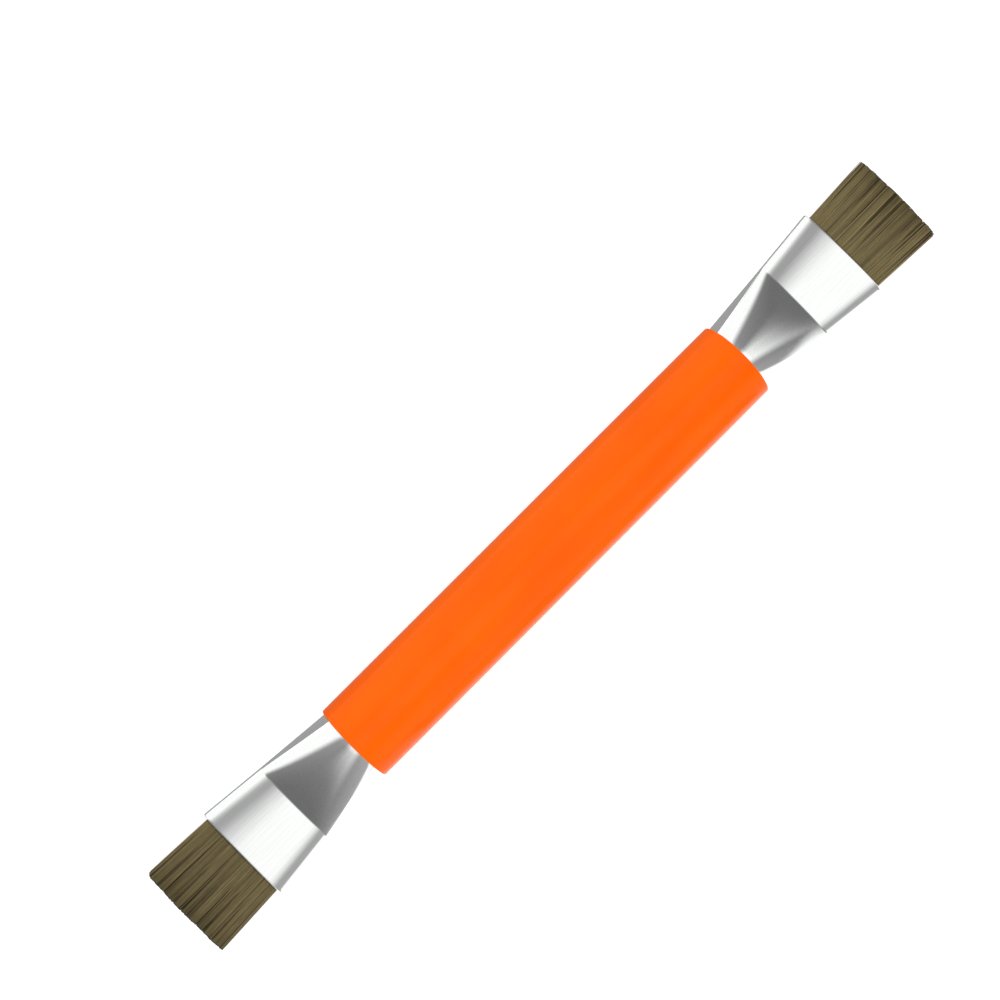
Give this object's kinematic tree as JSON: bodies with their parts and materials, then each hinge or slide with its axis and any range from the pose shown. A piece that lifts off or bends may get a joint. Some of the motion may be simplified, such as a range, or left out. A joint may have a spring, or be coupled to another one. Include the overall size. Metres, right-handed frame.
{
  "type": "lens cleaning brush pen",
  "caption": "Slim round handle with a flat soft brush at each end, held in crimped metal ferrules that turn from round to flat, for dusting lenses.",
  "frame": {"origin": "middle of the handle, on its axis, which is also the middle of the whole pen", "axes": "+X along the pen to the front brush, +Y across the flat width of the brushes, +Z out of the brushes' broad side"},
  "size_m": [0.125, 0.0136, 0.011],
  "materials": {
    "handle_plastic": "gloss",
    "core_wood": "matte",
    "ferrule_aluminium": "polished",
    "brush_hair": "satin",
    "binding_thread": "matte",
    "root_resin": "satin"
  },
  "bodies": {
    "handle": {"grip_sleeve": "handle_plastic", "core_rod": "core_wood", "front_ferrule": "ferrule_aluminium", "rear_ferrule": "ferrule_aluminium", "front_bristle_root": "brush_hair", "rear_bristle_root": "brush_hair", "front_binding_thread": "binding_thread", "rear_binding_thread": "binding_thread", "front_resin_plug": "root_resin", "rear_resin_plug": "root_resin"},
    "front_bristles": {"front_bristle_tuft": "brush_hair"},
    "rear_bristles": {"rear_bristle_tuft": "brush_hair"}
  },
  "joints": [
    {"name": "front_bristle_flex", "type": "hinge", "parent": "handle", "child": "front_bristles", "pos_m": [0.0537, 0, 0], "axis": [0, 1, 0], "range_deg": [-40, 40], "stiffness_Nm_per_rad": 0.005},
    {"name": "rear_bristle_flex", "type": "hinge", "parent": "handle", "child": "rear_bristles", "pos_m": [-0.0537, 0, 0], "axis": [0, 1, 0], "range_deg": [-40, 40], "stiffness_Nm_per_rad": 0.005}
  ]
}
